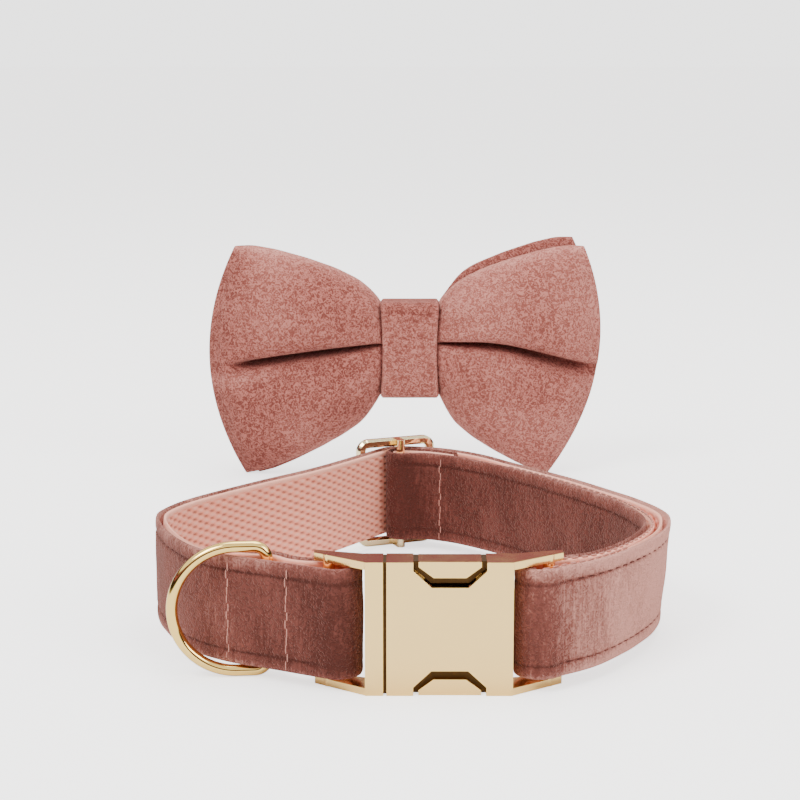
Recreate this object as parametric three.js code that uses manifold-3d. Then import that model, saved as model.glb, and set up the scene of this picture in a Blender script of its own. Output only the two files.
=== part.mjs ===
// Velvet pet collar with a side-release buckle, D-ring and slide, and the bow tie that belongs to it.
// Millimetres, +Z up, the buckle's front face looks along -Y. The collar lies on its lower edge as a loop,
// the bow stands behind it. The origin is under the middle of the whole set, on the surface.

import * as THREE from 'three';
import { mergeVertices } from 'three/addons/utils/BufferGeometryUtils.js';
import Module from 'manifold-3d';

const wasm = await Module();
wasm.setup();

// Strap
const strapWidth = 25;
const strapRaise = 0.4;
const webbingThickness = 1.2;
const velvetThickness = 1.2;
const seamGap = 0.2;
const layerGap = 0.35;
const strapThickness = webbingThickness + seamGap + velvetThickness;
const loopWidth = 125;
const loopDepth = 131;
const rightLeanWidth = 2.2;
const leanStartShare = 0.28;

// Buckle
const buckleHeight = 30;
const buckleDepth = 8;
const plateLength = 27.6;
const shoulderLength = 4;
const shoulderGap = 0.7;
const plateShift = 9.8;
const plateInset = 3;
const plateWall = 1.6;
const railThickness = 1.7;
const railLength = 11.3;
const railTipDepth = 2.6;
const railSetBack = 8.6;
const endBarRadius = 1.3;
const endBarInset = 3.3;
const endBarForward = 0.4;
const foldClearance = 1.4;
const foldReach = 1.8;
const foldForward = 0.5;
const foldSlope = 37;
const notchTop = 15.9;
const notchBottom = 8;
const notchStraight = 1.9;
const notchHeight = 5.6;
const buttonClearance = 1.1;
const buttonHeight = 3.6;
const buttonInset = 0.5;
const buttonStraight = 1.14;
const buttonTaper = 0.4;
const prongThickness = 2;
const prongClearance = 0.45;

// Ring
const ringWire = 2.6;
const ringHeight = 31.2;
const ringReach = 24;
const ringCorner = 3;
const ringLift = 0.1;
const ringAngle = 5;
const ringFromFold = 18;

// Slide
const slideLength = 23.5;
const slideHeight = 31;
const slideBar = 2.4;
const slideMiddleInset = 3.9;
const slideTurn = 23;
const slideShift = -1.2;
const slideBeyond = 1;
const slideCorner = 3.4;
const slideArm = 1.08;
const leftLegSlope = 56;
const rightLegSlope = 9;

// Sewing: lengths along the strap from the fold that they hold
const tailLength = 18;
const returnLength = 33.6;
const firstSeam = 13.3;
const innerApart = 1;

// How finely the strap's outline is cut
const sampleLength = 0.1;
const turnAtEdge = 7;
const longestEdgeLength = 4;

// Bow
const bowWidth = 130;
const bowHeight = 78;
const bowFrontDepth = 14;
const bowBackDepth = 10;
const bowEdge = 3;
const bowBackTurn = 3;
const bowBackShare = 0.965;
const pleatDepth = 5;
const pleatShare = 0.17;
const pleatStartShare = 0.12;
const knotWidth = 19.2;
const knotShift = 1.6;
const knotWall = 1.6;
const knotCorner = 1.4;
const knotPinchHeight = 28;
const knotMiddleHeight = 42.3;
const pinchedFrontDepth = 6.6;
const pinchedBackDepth = 5.6;
const elasticWidth = 12;
const elasticThickness = 1.2;
const elasticCorner = 1;
const elasticOpening = 6.5;
const elasticSpare = 1.6;
const bowDistance = 165;

// Gap between pieces that touch on the real thing
const clearance = 0.3;

// Outer run of the strap, clockwise from above. Across is the share of the way out to the loop's side, from
// the buckle's fold in front and from the slide's middle bar at the back. Along is a share of half the depth.
const leftStations = [
  { name: 'ring tunnel', across: 0.294, along: -0.779 },
  { name: 'front left', across: 0.498, along: -0.702 },
  { name: 'left turn', across: 0.656, along: -0.602 },
  { name: 'left side, front', across: 0.775, along: -0.455 },
  { name: 'left side', across: 0.866, along: -0.279 },
  { name: 'leftmost', across: 0.903, along: -0.124 },
  { name: 'left side, back', across: 0.861, along: -0.012 },
  { name: 'back left', across: 0.819, along: 0.112 },
  { name: 'back left, middle', across: 0.59, along: 0.39 },
  { name: 'towards the slide', across: 0.35, along: 0.655 },
];
const rightStations = [
  { name: 'after the slide', across: 0.168, along: 1.043 },
  { name: 'back right', across: 0.321, along: 0.93 },
  { name: 'back right, middle', across: 0.46, along: 0.748 },
  { name: 'right side, back', across: 0.69, along: 0.446 },
  { name: 'right side', across: 0.807, along: 0.263 },
  { name: 'right turn, back', across: 0.917, along: 0.076 },
  { name: 'rightmost', across: 0.966, along: -0.1 },
  { name: 'right turn', across: 0.96, along: -0.232 },
  { name: 'right turn, front', across: 0.874, along: -0.385 },
  { name: 'front right', across: 0.656, along: -0.578 },
  { name: 'front right, middle', across: 0.36, along: -0.755 },
  { name: 'towards the buckle', across: 0.086, along: -0.86 },
];

// Outline of one lobe: its top and bottom as shares of the bow's height, from the knot (0) to the corner (1)
const lobeProfile = [
  { across: 0, top: 0.749, bottom: 0.338, pad: 0.62 },
  { across: 0.07, top: 0.8, bottom: 0.272, pad: 0.78 },
  { across: 0.14, top: 0.836, bottom: 0.223, pad: 0.88 },
  { across: 0.3, top: 0.885, bottom: 0.16, pad: 1 },
  { across: 0.5, top: 0.928, bottom: 0.101, pad: 1 },
  { across: 0.72, top: 0.965, bottom: 0.046, pad: 0.88 },
  { across: 0.88, top: 0.982, bottom: 0.013, pad: 0.7 },
  { across: 1, top: 0.978, bottom: 0, pad: 0.45 },
];
// Corners of the lobes and the bulge of their outer edge, as shares of half the bow's width
const lobeSides = {
  left: { upper: 0.86, lower: 0.818, bulge: 0.158 },
  right: { upper: 0.905, lower: 0.734, bulge: 0.165 },
};

const velvet = new THREE.MeshStandardMaterial({ color: 0xb87a72, roughness: 0.95, metalness: 0 });
const webbing = new THREE.MeshStandardMaterial({ color: 0xe0a396, roughness: 0.9, metalness: 0 });
const gold = new THREE.MeshStandardMaterial({ color: 0xe8d3a6, roughness: 0.18, metalness: 1 });
const elastic = new THREE.MeshStandardMaterial({ color: 0xd9a59b, roughness: 0.9, metalness: 0 });

// Helpers

const radians = THREE.MathUtils.degToRad;
const lerp = THREE.MathUtils.lerp;
const point = (x, y) => new THREE.Vector3(x, y, 0);

function bare(geometry) {
  const plain = geometry.clone();
  plain.deleteAttribute('normal');
  plain.deleteAttribute('uv');
  return mergeVertices(plain, 1e-4);
}

function toSolid(geometry) {
  const merged = bare(geometry);
  return new wasm.Manifold(new wasm.Mesh({
    numProp: 3,
    vertProperties: new Float32Array(merged.attributes.position.array),
    triVerts: new Uint32Array(merged.index.array),
  }));
}

function toGeometry(solid) {
  const mesh = solid.getMesh();
  const geometry = new THREE.BufferGeometry();
  geometry.setAttribute('position', new THREE.BufferAttribute(mesh.vertProperties, 3));
  geometry.setIndex(new THREE.BufferAttribute(mesh.triVerts, 1));
  geometry.computeVertexNormals();
  return geometry;
}

function piece(name, geometry, material) {
  const mesh = new THREE.Mesh(geometry, material);
  mesh.name = name;
  return mesh;
}

function block(x0, x1, y0, y1, z0, z1) {
  const geometry = new THREE.BoxGeometry(x1 - x0, y1 - y0, z1 - z0);
  return geometry.translate((x0 + x1) / 2, (y0 + y1) / 2, (z0 + z1) / 2);
}

function upright(radius, x, y, z0, z1) {
  const geometry = new THREE.CylinderGeometry(radius, radius, z1 - z0, 20);
  return geometry.rotateX(Math.PI / 2).translate(x, y, (z0 + z1) / 2);
}

// An outline in plan, raised from z0 to z1
function raised(outline, z0, z1) {
  const shape = new THREE.Shape(outline.map(([x, y]) => new THREE.Vector2(x, y)));
  const geometry = new THREE.ExtrudeGeometry(shape, { depth: z1 - z0, bevelEnabled: false });
  return geometry.translate(0, 0, z0);
}

// Points on an arc about a centre, both ends included
function arcPoints(centre, radius, fromDegrees, toDegrees, count) {
  return Array.from({ length: count }, (unused, i) => {
    const angle = radians(lerp(fromDegrees, toDegrees, i / (count - 1)));
    return point(centre.x + radius * Math.cos(angle), centre.y + radius * Math.sin(angle));
  });
}

// A column of a table, read between its rows at a place across
function between(table, across, column) {
  let i = 0;
  while (i < table.length - 2 && across > table[i + 1].across) i += 1;
  const low = table[i];
  const high = table[i + 1];
  const share = THREE.MathUtils.clamp((across - low.across) / (high.across - low.across), 0, 1);
  return lerp(low[column], high[column], share);
}

// Places that several pieces share

const plateFront = plateInset - loopDepth / 2;
const plateLeft = plateShift - plateLength / 2;
const plateRight = plateShift + plateLength / 2;
const shoulderRight = plateLeft - shoulderGap;
const shoulderLeft = shoulderRight - shoulderLength;
const strapBottom = (buckleHeight - strapWidth) / 2 + strapRaise;
const endBarY = plateFront + buckleDepth - endBarForward;
const leftBar = point(shoulderLeft - railLength + endBarInset, endBarY);
const rightBar = point(plateRight + railLength - endBarInset, endBarY);
const middleBar = point(slideShift, loopDepth / 2 + slideBeyond);

// Strap route. The webbing's bare face follows the line, and the strap lies to the left of its direction.

const foldRadius = endBarRadius + foldClearance;
const leftFold = point(leftBar.x + foldReach, leftBar.y - foldForward);
const rightFold = point(rightBar.x - foldReach, rightBar.y - foldForward);
const middleRadius = slideBar / 2 + clearance;
const overRadius = middleRadius + strapThickness + layerGap;

const stationBetween = (fold, side) => ({ across, along }) => point(
  lerp(along < 0 ? fold.x : middleBar.x, side, across),
  (along * loopDepth) / 2,
);
const leftKnots = leftStations.map(stationBetween(leftFold, -loopWidth / 2));
const rightKnots = rightStations.map(stationBetween(rightFold, loopWidth / 2));

const outerRun = new THREE.CatmullRomCurve3([
  ...arcPoints(leftFold, foldRadius, -100, -90 - foldSlope, 2),
  ...leftKnots,
  ...arcPoints(middleBar, overRadius, 90 + leftLegSlope, 90 - rightLegSlope, 5),
  ...rightKnots,
  ...arcPoints(rightFold, foldRadius, foldSlope - 90, -80, 2),
], false, 'centripetal');
outerRun.arcLengthDivisions = 1500;
const outerLength = outerRun.getLength();

// A point beside the outer run: this far along it, and this far towards the neck
function beside(distance, inward) {
  const share = THREE.MathUtils.clamp(distance / outerLength, 0, 1);
  const place = outerRun.getPointAt(share);
  const tangent = outerRun.getTangentAt(share);
  return point(place.x + tangent.y * inward, place.y - tangent.x * inward);
}

// How far along the outer run passes behind the slide's middle bar
function middleDistance() {
  const steps = 1000;
  let i = Math.round(steps / 4);
  while (outerRun.getPointAt(i / steps).x < middleBar.x) i += 1;
  return (i / steps) * outerLength;
}

const ringApart = ringWire + 2 * clearance;
const slideAt = middleDistance();
const rightRun = outerLength - slideAt;
const besideTail = strapThickness + 2 * layerGap;

// The inner run, from the buckle back to the slide: a share of the way, and how far it keeps from the outer
// run as a share of the usual distance
const innerRun = [
  { back: 0.045, apart: 3.6 },
  { back: 0.1, apart: 1.1 },
  { back: 0.2, apart: 0.6 },
  { back: 0.32, apart: 1.2 },
  { back: 0.45, apart: 1.6 },
  { back: 0.58, apart: 0.9 },
  { back: 0.68, apart: 0.6 },
  { back: 0.78, apart: 1 },
];

// The return run, from the strap's sewn end to the fold: a share of the way between two lengths from the
// fold, and how far it keeps from the outer run as a share of the ring's room
const returnRun = [
  { from: ringFromFold, to: returnLength, share: 1, apart: 0.11 },
  { from: ringFromFold, to: returnLength, share: 0.75, apart: 0.17 },
  { from: ringFromFold, to: returnLength, share: 0.35, apart: 0.6 },
  { from: firstSeam, to: ringFromFold, share: 1, apart: 1.06 },
  { from: firstSeam, to: ringFromFold, share: 0.5, apart: 0.86 },
  { from: 0, to: firstSeam, share: 1, apart: 0.62 },
  { from: 0, to: firstSeam, share: 0.7, apart: 0.66 },
  { from: 0, to: firstSeam, share: 0.42, apart: 1.1 },
];
const returnKnots = returnRun.map(({ from, to, share, apart }) => (
  beside(lerp(from, to, share), apart * ringApart)
));

// The sewn tail's neighbour on the inner run: shares of the tail's length, and gaps beyond the tail
const tailRun = [
  { share: 1.2, gaps: -1 },
  { share: 0.8, gaps: 1 },
  { share: 0.45, gaps: 2 },
];

const strapLine = new THREE.CatmullRomCurve3([
  ...returnKnots,
  ...arcPoints(leftFold, foldRadius, 80, -90 - foldSlope, 9),
  ...leftKnots,
  ...arcPoints(middleBar, overRadius, 90 + leftLegSlope, 90 - rightLegSlope, 5),
  ...rightKnots,
  ...arcPoints(rightFold, foldRadius, foldSlope - 90, -260, 9),
  ...innerRun.map(({ back, apart }) => beside(outerLength - back * rightRun, apart * innerApart)),
  ...tailRun.map(({ share, gaps }) => beside(slideAt + tailLength * share, besideTail + gaps * layerGap)),
  ...arcPoints(middleBar, middleRadius, -90 - rightLegSlope, -270 - rightLegSlope, 7),
  beside(slideAt + tailLength / 2, strapThickness + layerGap),
  beside(slideAt + tailLength, strapThickness + layerGap),
], false, 'centripetal');
strapLine.arcLengthDivisions = 3000;

// Keeps a point of the line where it has turned by a few degrees or run far enough
function thinned(line, step, mostTurn, mostLength) {
  const fine = line.getSpacedPoints(Math.round(line.getLength() / step));
  const kept = [fine[0]];
  let heading = fine[1].clone().sub(fine[0]).normalize();
  for (let i = 1; i < fine.length - 1; i += 1) {
    const next = fine[i + 1].clone().sub(fine[i]).normalize();
    const turned = heading.angleTo(next) > mostTurn;
    if (turned || fine[i].distanceTo(kept[kept.length - 1]) > mostLength) {
      kept.push(fine[i]);
      heading = next;
    }
  }
  kept.push(fine[fine.length - 1]);
  return kept;
}

const strapPoints = thinned(strapLine, sampleLength, radians(turnAtEdge), longestEdgeLength);

function toTheLeft(points, offset) {
  return points.map((here, i) => {
    const before = points[Math.max(i - 1, 0)];
    const after = points[Math.min(i + 1, points.length - 1)];
    const along = after.clone().sub(before).normalize();
    return [here.x - along.y * offset, here.y + along.x * offset];
  });
}

// The right bend leans: its lower edge lies further in than its upper edge
function leaned(geometry) {
  const places = geometry.attributes.position;
  for (let i = 0; i < places.count; i += 1) {
    const x = places.getX(i);
    const low = 1 - (places.getZ(i) - strapBottom) / strapWidth;
    const side = THREE.MathUtils.smoothstep(x, loopWidth * leanStartShare, loopWidth / 2);
    places.setX(i, x - rightLeanWidth * low * side);
  }
  return geometry;
}

function strapStrip(name, from, to, material) {
  const outline = [...toTheLeft(strapPoints, from), ...toTheLeft(strapPoints, to).reverse()];
  return piece(name, leaned(raised(outline, strapBottom, strapBottom + strapWidth)), material);
}

// Buckle

// Seen from above, a rail tapers and bends back towards the neck. It starts a little inside its body.
function railOutline(root, outward) {
  const tip = root + outward * railLength;
  const inside = root - (outward * shoulderLength) / 4;
  const back = plateFront + buckleDepth;
  return [
    [inside, plateFront + buttonInset], [root, plateFront + buttonInset / 2],
    [tip, plateFront + railSetBack], [tip, plateFront + railSetBack + railTipDepth],
    [root, back - buttonInset / 2], [inside, back - buttonInset],
  ];
}

function railsAndBar(root, outward, bar) {
  const outline = railOutline(root, outward);
  return toSolid(raised(outline, 0, railThickness))
    .add(toSolid(raised(outline, buckleHeight - railThickness, buckleHeight)))
    .add(toSolid(upright(endBarRadius, bar.x, bar.y, 0, buckleHeight)));
}

// A notch or the button in it, seen from the front: wide at the buckle's edge, narrow further in
function notchSolid({ atTop, shrink, height, straight, beyond, y0, y1 }) {
  const wide = notchTop / 2 - shrink;
  const narrow = notchBottom / 2 - shrink * buttonTaper;
  const level = (depth) => (atTop ? buckleHeight - depth : depth);
  const shape = new THREE.Shape([
    [-wide, -beyond], [wide, -beyond], [wide, straight],
    [narrow, height], [-narrow, height], [-wide, straight],
  ].map(([x, depth]) => new THREE.Vector2(plateShift + x, level(depth))));
  const prism = new THREE.ExtrudeGeometry(shape, { depth: y1 - y0, bevelEnabled: false });
  return toSolid(prism.rotateX(Math.PI / 2).translate(0, y1, 0));
}

function buckleSocket() {
  const back = plateFront + buckleDepth;
  const beyond = 1;
  let solid = toSolid(block(plateLeft, plateRight, plateFront, back, 0, buckleHeight));
  solid = solid.subtract(toSolid(block(
    plateLeft - beyond, plateRight - plateWall,
    plateFront + plateWall, back - plateWall,
    plateWall, buckleHeight - plateWall,
  )));
  for (const atTop of [true, false]) {
    solid = solid.subtract(notchSolid({
      atTop, shrink: 0, height: notchHeight, straight: notchStraight, beyond,
      y0: plateFront - beyond, y1: back + beyond,
    }));
  }
  return solid.add(railsAndBar(plateRight, 1, rightBar));
}

function buckleTongue() {
  const back = plateFront + buckleDepth;
  const prongFront = plateFront + plateWall + prongClearance;
  const prongBack = back - plateWall - prongClearance;
  const prongLow = plateWall + prongClearance;
  const prongEnd = plateShift + notchTop / 2 - buttonClearance;
  let solid = toSolid(block(shoulderLeft, shoulderRight, plateFront, back, 0, buckleHeight));
  for (const atTop of [true, false]) {
    const z0 = atTop ? buckleHeight - prongLow - prongThickness : prongLow;
    solid = solid.add(toSolid(block(
      shoulderRight - shoulderGap, prongEnd, prongFront, prongBack, z0, z0 + prongThickness,
    )));
    solid = solid.add(notchSolid({
      atTop, shrink: buttonClearance, height: buttonHeight, straight: buttonStraight, beyond: 0,
      y0: plateFront + buttonInset, y1: back - buttonInset,
    }));
  }
  return solid.add(railsAndBar(shoulderLeft, -1, leftBar));
}

// Ring, slide

const ringPlace = beside(ringFromFold, clearance + ringWire / 2);

function ringGeometry() {
  const radius = ringWire / 2;
  const half = ringHeight / 2 - radius;
  const reach = ringReach - ringWire;
  const corner = ringCorner - radius;
  const bend = (x, y, r, from, to, count) => arcPoints(point(x, y), r, from, to, count);
  const outline = [
    ...bend(corner, half - corner, corner, 180, 90, 4),
    ...bend(reach - half, 0, half, 90, -90, 17),
    ...bend(corner, corner - half, corner, 270, 180, 4),
    ...[-0.8, -0.4, 0, 0.4, 0.8].map((share) => point(0, share * (half - corner))),
  ].map(({ x, y }) => new THREE.Vector3(-x, 0, y));
  const line = new THREE.CatmullRomCurve3(outline, true, 'centripetal');
  return new THREE.TubeGeometry(line, 64, radius, 12, true);
}

function ring() {
  const mesh = piece('d_ring', ringGeometry(), gold);
  mesh.rotation.z = radians(ringAngle);
  mesh.position.set(ringPlace.x, ringPlace.y, ringLift + ringHeight / 2);
  return mesh;
}

function roundedRectangle(width, height, radius) {
  const shape = new THREE.Shape();
  const x = width / 2 - radius;
  const y = height / 2 - radius;
  shape.absarc(x, y, radius, 0, Math.PI / 2, false);
  shape.absarc(-x, y, radius, Math.PI / 2, Math.PI, false);
  shape.absarc(-x, -y, radius, Math.PI, 1.5 * Math.PI, false);
  shape.absarc(x, -y, radius, 1.5 * Math.PI, 2 * Math.PI, false);
  return shape;
}

function slideGeometry() {
  const bevel = slideBar / 4;
  const open = slideBar - bevel;
  const frame = roundedRectangle(slideLength - 2 * bevel, slideHeight - 2 * bevel, slideCorner - bevel);
  frame.holes.push(roundedRectangle(slideLength - 2 * open, slideHeight - 2 * open, slideCorner - open));
  const flat = new THREE.ExtrudeGeometry(frame, {
    depth: slideBar - 2 * bevel,
    bevelThickness: bevel,
    bevelSize: bevel,
    bevelSegments: 1,
    curveSegments: 4,
  });
  flat.translate(0, 0, bevel - slideBar / 2).rotateX(Math.PI / 2);
  const half = slideHeight / 2;
  let solid = toSolid(flat).add(toSolid(upright(slideBar / 2, 0, -slideMiddleInset, -half, half)));
  for (const z of [-half, half - 2 * slideArm]) {
    solid = solid.add(toSolid(block(-slideArm, slideArm, -slideMiddleInset, 0, z, z + 2 * slideArm)));
  }
  return toGeometry(solid);
}

function slide() {
  const mesh = piece('slide_adjuster', slideGeometry(), gold);
  const turn = radians(slideTurn);
  mesh.rotation.z = turn;
  mesh.position.set(
    middleBar.x - slideMiddleInset * Math.sin(turn),
    middleBar.y + slideMiddleInset * Math.cos(turn),
    slideHeight / 2,
  );
  return mesh;
}

// Bow. Each layer is a box grid bent to the outline: u runs across, v up and w from back to front.

const knotHalf = knotWidth / 2;
const knotStart = knotHalf + clearance;
const gridAcross = 32;
const gridUp = 12;
const knotColumns = 6;
const knotShare = knotColumns / gridAcross;
const turnFrom = 0.25;
const pleatFades = { atKnot: 0.1, atEdge: 0.75 };

// Where a grid point lies, seen from the front, and how far it is from the knot to the lobe's edge
function layerPlace(u, v) {
  const sign = Math.sign(u);
  const out = Math.abs(u);
  if (out <= knotShare) {
    return {
      x: knotShift + (u * knotStart) / knotShare,
      z: knotMiddleHeight + (v * knotPinchHeight) / 2,
      away: 0,
    };
  }
  const side = sign < 0 ? lobeSides.left : lobeSides.right;
  const away = (out - knotShare) / (1 - knotShare);
  const corner = (lerp(side.lower, side.upper, (v + 1) / 2) * bowWidth) / 2 - sign * knotShift;
  const bulge = ((side.bulge * bowWidth) / 2) * (1 - v * v) * away * away;
  const top = between(lobeProfile, away, 'top') * bowHeight;
  const bottom = between(lobeProfile, away, 'bottom') * bowHeight;
  return {
    x: knotShift + sign * (lerp(knotStart, corner, away) + bulge),
    z: lerp(bottom, top, (v + 1) / 2),
    away,
  };
}

// The back layer is turned and a little smaller, and its lower left corner comes down to the surface
function turned({ x, z, away }, degrees, share) {
  const blend = THREE.MathUtils.smoothstep(away, 0, turnFrom);
  const angle = radians(degrees);
  const swing = (dx, dz) => ({
    x: share * (dx * Math.cos(angle) - dz * Math.sin(angle)),
    z: share * (dx * Math.sin(angle) + dz * Math.cos(angle)),
  });
  const corner = swing((-lobeSides.left.lower * bowWidth) / 2 - knotShift, -knotMiddleHeight);
  const moved = swing(x - knotShift, z - knotMiddleHeight);
  return {
    x: lerp(x, knotShift + moved.x, blend),
    z: lerp(z, moved.z - corner.z, blend),
    away,
  };
}

function layerDepth(v, away, pad, pinched) {
  const full = away > 0 ? pad * between(lobeProfile, away, 'pad') : pinched;
  return lerp(Math.min(bowEdge, full), full, Math.sqrt(Math.max(1 - v * v, 0)));
}

function bowLayer({ pad, pinched, towardsFront, degrees, share, pleat }) {
  const geometry = bare(new THREE.BoxGeometry(2, 2, 2, gridAcross, gridUp, 1));
  const places = geometry.attributes.position;
  for (let i = 0; i < places.count; i += 1) {
    const v = places.getY(i);
    const front = places.getZ(i) > 0;
    const { x, z, away } = turned(layerPlace(places.getX(i), v), degrees, share);
    const depth = layerDepth(v, away, pad, pinched);
    const line = (v - pleatStartShare * (1 - away)) / pleatShare;
    const fade = THREE.MathUtils.smoothstep(away, 0, pleatFades.atKnot)
      * (1 - THREE.MathUtils.smoothstep(away, pleatFades.atEdge, 1));
    const dent = pleat * fade * Math.exp(-line * line);
    const outside = front === towardsFront;
    const y = (outside ? depth - dent : 0) + clearance / 2;
    places.setXYZ(i, x, towardsFront ? -y : y, z);
  }
  geometry.computeVertexNormals();
  return geometry;
}

// A flat ring in the plane across the bow's length: rounded corners, an even wall
function band(y0, y1, inside, wall, width, corner) {
  const outline = roundedRectangle(y1 - y0 + 2 * wall, inside + 2 * wall, corner + wall);
  outline.holes.push(roundedRectangle(y1 - y0, inside, corner));
  const settings = { depth: width, bevelEnabled: false, curveSegments: 5 };
  const geometry = new THREE.ExtrudeGeometry(outline, settings);
  geometry.rotateX(Math.PI / 2).rotateZ(Math.PI / 2);
  return geometry.translate(knotShift - width / 2, (y0 + y1) / 2, knotMiddleHeight);
}

function bow() {
  const front = -(clearance * 1.5 + pinchedFrontDepth);
  const back = clearance * 1.5 + pinchedBackDepth;
  const elasticFront = back + knotWall + clearance + elasticThickness;
  const group = new THREE.Group();
  group.add(
    piece('bow_front', bowLayer({
      pad: bowFrontDepth, pinched: pinchedFrontDepth, towardsFront: true,
      degrees: 0, share: 1, pleat: pleatDepth,
    }), velvet),
    piece('bow_back', bowLayer({
      pad: bowBackDepth, pinched: pinchedBackDepth, towardsFront: false,
      degrees: bowBackTurn, share: bowBackShare, pleat: 0,
    }), velvet),
    piece('bow_knot', band(
      front, back, knotPinchHeight + 2 * clearance, knotWall, knotWidth, knotCorner,
    ), velvet),
    piece('bow_strap_loop', band(
      elasticFront, elasticFront + elasticOpening, strapWidth + elasticSpare,
      elasticThickness, elasticWidth, elasticCorner,
    ), elastic),
  );
  group.position.y = bowDistance;
  return group;
}

function collar() {
  const group = new THREE.Group();
  group.add(
    strapStrip('strap_webbing', 0, webbingThickness, webbing),
    strapStrip('strap_velvet', webbingThickness + seamGap, strapThickness, velvet),
    piece('buckle_tongue', toGeometry(buckleTongue()), gold),
    piece('buckle_socket', toGeometry(buckleSocket()), gold),
    ring(),
    slide(),
  );
  return group;
}

const set = new THREE.Group();
set.add(collar(), bow());
const box = new THREE.Box3().setFromObject(set);
const middle = box.getCenter(new THREE.Vector3());
set.position.set(-middle.x, -middle.y, -box.min.z);

export default set;
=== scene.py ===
# %% [markdown]
# # A velvet pet collar and its bow tie
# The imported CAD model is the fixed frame: it says where each piece is and how big. This lesson dresses
# it, piece by piece, with cloth, thread and metal. Lengths are millimetres in the formulas, because a
# maker thinks in them, and are turned into metres only when a mesh is made.

# %% Load the frame
import math

import bmesh
import bpy
import numpy as np
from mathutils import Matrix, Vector


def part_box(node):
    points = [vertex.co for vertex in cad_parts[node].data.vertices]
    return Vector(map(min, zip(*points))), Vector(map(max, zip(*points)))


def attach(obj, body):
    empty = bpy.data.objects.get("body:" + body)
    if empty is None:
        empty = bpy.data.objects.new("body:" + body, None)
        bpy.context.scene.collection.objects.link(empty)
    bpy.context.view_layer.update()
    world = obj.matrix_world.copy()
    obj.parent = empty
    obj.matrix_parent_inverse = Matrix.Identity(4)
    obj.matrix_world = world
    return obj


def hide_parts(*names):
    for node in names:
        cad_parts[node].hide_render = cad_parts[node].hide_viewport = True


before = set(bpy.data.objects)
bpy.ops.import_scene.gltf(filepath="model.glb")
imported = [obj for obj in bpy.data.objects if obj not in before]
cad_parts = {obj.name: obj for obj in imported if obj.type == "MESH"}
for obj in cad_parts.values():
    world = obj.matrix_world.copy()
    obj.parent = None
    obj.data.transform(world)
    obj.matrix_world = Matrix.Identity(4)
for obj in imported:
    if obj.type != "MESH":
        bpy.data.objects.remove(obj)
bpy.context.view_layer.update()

# %% [markdown]
# ## Where the collar's own measures begin
# The formulas count from the middle of the loop. The frame counts from the middle of the whole set. The
# buckle's hollow half is a hard piece whose front and right end are known in both, so it gives the
# shift between them.

# %% Millimetres of the collar to metres of the frame
plate_front, rail_end = -62.5, 34.9
socket_low, socket_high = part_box("buckle_socket")
shift = np.array([socket_high.x * 1000 - rail_end, socket_low.y * 1000 - plate_front, 0.0])


def to_frame(points):
    """Metres in the frame: the point in mm plus the shift, over a thousand."""
    return (np.asarray(points, float) + shift) / 1000


print("shift in mm:", shift.round(3))

# %% [markdown]
# ## Camera
# The photograph looks down on the collar at about 15 degrees with a long lens. The camera stands where
# the collar's ellipse and the plate's size say, and is pitched so that no lens shift is needed.

# %% Camera
camera_data = bpy.data.cameras.new("camera")
camera = bpy.data.objects.new("camera", camera_data)
bpy.context.scene.collection.objects.link(camera)
camera_place = (0.0, -458.8, 136.9)
camera_pitch, camera_yaw, camera_lens = 10.2, 0.15, 85.5
camera.location = to_frame(camera_place)
camera.rotation_euler = (math.radians(90 - camera_pitch), 0, math.radians(camera_yaw))
camera_data.lens = camera_lens
camera_data.clip_start, camera_data.clip_end = 0.01, 50
bpy.context.scene.camera = camera
print(f"camera pitched down {camera_pitch} degrees, lens {camera_lens} mm")

# %% [markdown]
# ## Floor and lights
# A plain pale floor and large soft lights, as in a product studio. A little glow, seen by the camera
# alone, keeps the floor as pale as the photograph's backdrop without lighting the collar from below.

# %% Floor and lights
def principled(name, color, roughness, metallic=0.0):
    """A new material and its shader, with the values that are the same all over."""
    material = bpy.data.materials.new(name)
    material.use_nodes = True
    shader = material.node_tree.nodes["Principled BSDF"]
    shader.inputs["Base Color"].default_value = (*color, 1)
    shader.inputs["Roughness"].default_value = roughness
    shader.inputs["Metallic"].default_value = metallic
    return material, shader


floor_half, floor_glow = 30, 1.7
floor_mesh = bpy.data.meshes.new("floor")
floor_corners = [(-floor_half, -floor_half, 0), (floor_half, -floor_half, 0), (floor_half, floor_half, 0),
                 (-floor_half, floor_half, 0)]
floor_mesh.from_pydata(floor_corners, [], [(0, 1, 2, 3)])
floor = bpy.data.objects.new("floor", floor_mesh)
bpy.context.scene.collection.objects.link(floor)
floor_material, floor_shader = principled("floor", (0.93, 0.925, 0.92), 0.95)
floor_nodes, floor_links = floor_material.node_tree.nodes, floor_material.node_tree.links
floor_path = floor_nodes.new("ShaderNodeLightPath")
floor_shader.inputs["Emission Color"].default_value = (1, 0.995, 0.99, 1)
glow = floor_nodes.new("ShaderNodeMath")
glow.operation = "MULTIPLY"
glow.inputs[1].default_value = floor_glow
floor_links.new(floor_path.outputs["Is Camera Ray"], glow.inputs[0])
floor_links.new(glow.outputs[0], floor_shader.inputs["Emission Strength"])
floor_mesh.materials.append(floor_material)


def softbox(name, place, aim, size, watts):
    """A square area light at place, turned to shine at aim."""
    light = bpy.data.lights.new(name, "AREA")
    light.shape, light.size, light.energy = "SQUARE", size, watts
    lamp = bpy.data.objects.new(name, light)
    lamp.location = place
    lamp.rotation_euler = (Vector(aim) - Vector(place)).to_track_quat("-Z", "Y").to_euler()
    bpy.context.scene.collection.objects.link(lamp)


lit_spot = (0, 0, 0.03)
softbox("key", (-0.55, -0.6, 0.9), lit_spot, 0.5, 9)
softbox("fill", (0.75, -0.55, 0.5), lit_spot, 0.5, 4)
softbox("top", (0.1, 0.15, 1.1), lit_spot, 0.7, 7)
print("lights:", len(bpy.data.lights))

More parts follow.
